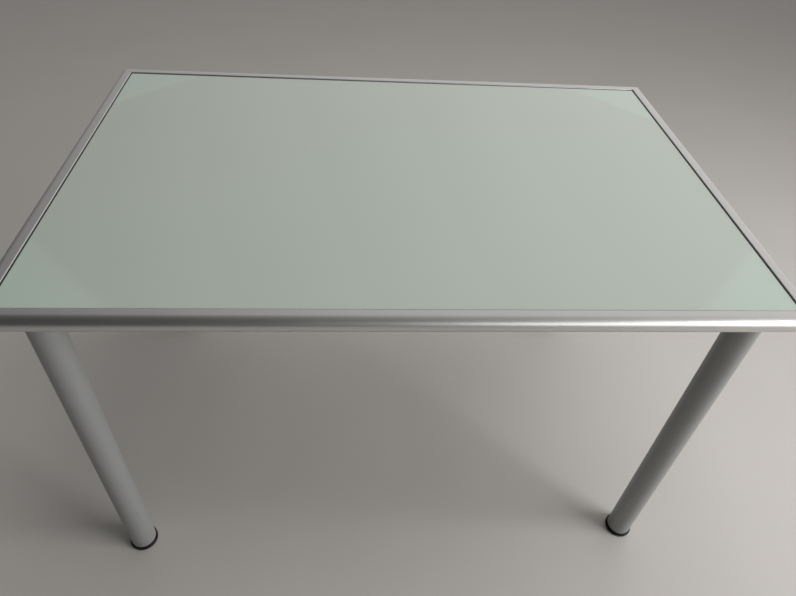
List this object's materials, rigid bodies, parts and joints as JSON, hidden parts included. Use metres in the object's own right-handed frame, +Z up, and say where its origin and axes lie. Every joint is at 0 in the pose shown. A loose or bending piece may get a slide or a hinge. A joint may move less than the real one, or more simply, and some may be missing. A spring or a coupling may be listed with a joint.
{
  "type": "desk",
  "caption": "Rectangular desk with a satin glass top in a round-nosed aluminium frame, on round steel legs with black levelling feet.",
  "frame": {"origin": "on the floor, under the middle of the worktop", "axes": "+X to the right along the desk's long side, +Y to the back, +Z up"},
  "size_m": [1.2, 0.8, 0.74],
  "materials": {
    "satin_glass": "satin-etched, faintly green",
    "anodised_aluminium": "satin anodised",
    "leg_paint": "silver-grey powder coat",
    "black_plastic": "moulded, slightly textured",
    "black_rubber": "matte",
    "zinc_steel": "bright zinc plate"
  },
  "bodies": {
    "desk": {"glass_panel": "satin_glass", "front_rail": "anodised_aluminium", "back_rail": "anodised_aluminium", "left_rail": "anodised_aluminium", "right_rail": "anodised_aluminium", "front_seal": "black_rubber", "back_seal": "black_rubber", "left_seal": "black_rubber", "right_seal": "black_rubber", "front_left_corner_key": "zinc_steel", "front_right_corner_key": "zinc_steel", "back_left_corner_key": "zinc_steel", "back_right_corner_key": "zinc_steel", "front_left_corner_plate": "zinc_steel", "front_right_corner_plate": "zinc_steel", "back_left_corner_plate": "zinc_steel", "back_right_corner_plate": "zinc_steel", "front_left_leg_collar": "black_plastic", "front_right_leg_collar": "black_plastic", "back_left_leg_collar": "black_plastic", "back_right_leg_collar": "black_plastic", "front_left_leg_tube": "leg_paint", "front_right_leg_tube": "leg_paint", "back_left_leg_tube": "leg_paint", "back_right_leg_tube": "leg_paint", "front_left_foot_insert": "black_plastic", "front_right_foot_insert": "black_plastic", "back_left_foot_insert": "black_plastic", "back_right_foot_insert": "black_plastic", "plate_screws": "zinc_steel", "leg_bolts": "zinc_steel"},
    "front_left_pad": {"front_left_foot_pad": "black_plastic"},
    "front_left_screw": {"front_left_foot_screw": "zinc_steel"},
    "front_right_pad": {"front_right_foot_pad": "black_plastic"},
    "front_right_screw": {"front_right_foot_screw": "zinc_steel"},
    "back_left_pad": {"back_left_foot_pad": "black_plastic"},
    "back_left_screw": {"back_left_foot_screw": "zinc_steel"},
    "back_right_pad": {"back_right_foot_pad": "black_plastic"},
    "back_right_screw": {"back_right_foot_screw": "zinc_steel"}
  },
  "joints": [
    {"name": "front_left_foot_travel", "type": "slide", "parent": "desk", "child": "front_left_pad", "axis": [0, 0, -1], "range_m": [0, 0.012]},
    {"name": "front_left_screw_turn", "type": "hinge", "parent": "front_left_pad", "child": "front_left_screw", "pos_m": [-0.536, -0.336, 0.02], "axis": [0, 0, -1], "range_deg": [0, 2880]},
    {"name": "front_right_foot_travel", "type": "slide", "parent": "desk", "child": "front_right_pad", "axis": [0, 0, -1], "range_m": [0, 0.012]},
    {"name": "front_right_screw_turn", "type": "hinge", "parent": "front_right_pad", "child": "front_right_screw", "pos_m": [0.536, -0.336, 0.02], "axis": [0, 0, -1], "range_deg": [0, 2880]},
    {"name": "back_left_foot_travel", "type": "slide", "parent": "desk", "child": "back_left_pad", "axis": [0, 0, -1], "range_m": [0, 0.012]},
    {"name": "back_left_screw_turn", "type": "hinge", "parent": "back_left_pad", "child": "back_left_screw", "pos_m": [-0.536, 0.336, 0.02], "axis": [0, 0, -1], "range_deg": [0, 2880]},
    {"name": "back_right_foot_travel", "type": "slide", "parent": "desk", "child": "back_right_pad", "axis": [0, 0, -1], "range_m": [0, 0.012]},
    {"name": "back_right_screw_turn", "type": "hinge", "parent": "back_right_pad", "child": "back_right_screw", "pos_m": [0.536, 0.336, 0.02], "axis": [0, 0, -1], "range_deg": [0, 2880]}
  ],
  "couplings": [
    {"joint": "front_left_screw_turn", "follows": "front_left_foot_travel", "rad_per_m": 4188.8},
    {"joint": "front_right_screw_turn", "follows": "front_right_foot_travel", "rad_per_m": 4188.8},
    {"joint": "back_left_screw_turn", "follows": "back_left_foot_travel", "rad_per_m": 4188.8},
    {"joint": "back_right_screw_turn", "follows": "back_right_foot_travel", "rad_per_m": 4188.8}
  ]
}
